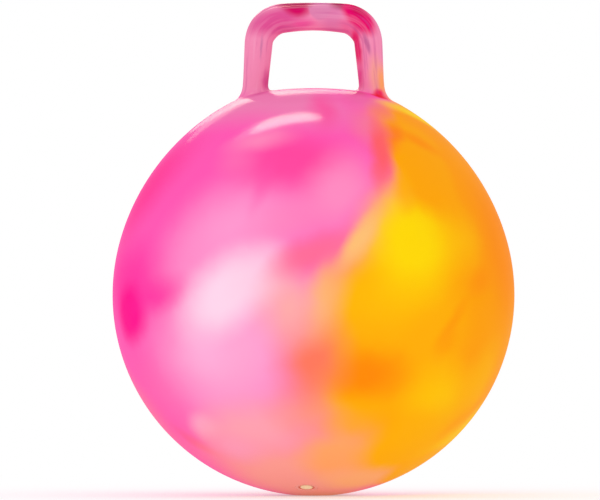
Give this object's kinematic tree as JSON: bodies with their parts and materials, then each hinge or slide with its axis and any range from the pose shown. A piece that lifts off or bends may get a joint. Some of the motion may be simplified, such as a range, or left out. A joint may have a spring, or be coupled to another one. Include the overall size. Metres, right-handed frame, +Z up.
{
  "type": "hopper ball",
  "caption": "Inflatable vinyl ball to sit on and bounce, with a hollow D-shaped hand loop on top and a push-in valve plug underneath.",
  "frame": {"origin": "on the floor, at the middle of the spot that the standing ball rests on, below the ball's centre", "axes": "+Z up through the ball's centre and the middle of the grip; -Y towards the front, where the valve is; the hand loop lies in the plane of X and Z"},
  "size_m": [0.381, 0.381, 0.4667],
  "materials": {
    "skin": "glossy soft vinyl, marbled in pink, magenta, orange and yellow",
    "handle": "glossy soft vinyl, pink and magenta with lengthwise streaks",
    "seat": "soft vinyl",
    "plug": "satin, cream"
  },
  "bodies": {
    "ball": {"ball_skin": "skin", "handle": "handle", "valve_seat": "seat"},
    "plug": {"valve_plug": "plug"}
  },
  "joints": [
    {"name": "plug_pull", "type": "slide", "parent": "ball", "child": "plug", "axis": [-0.0351, -0.3037, -0.9521], "range_m": [0, 0.019]}
  ]
}
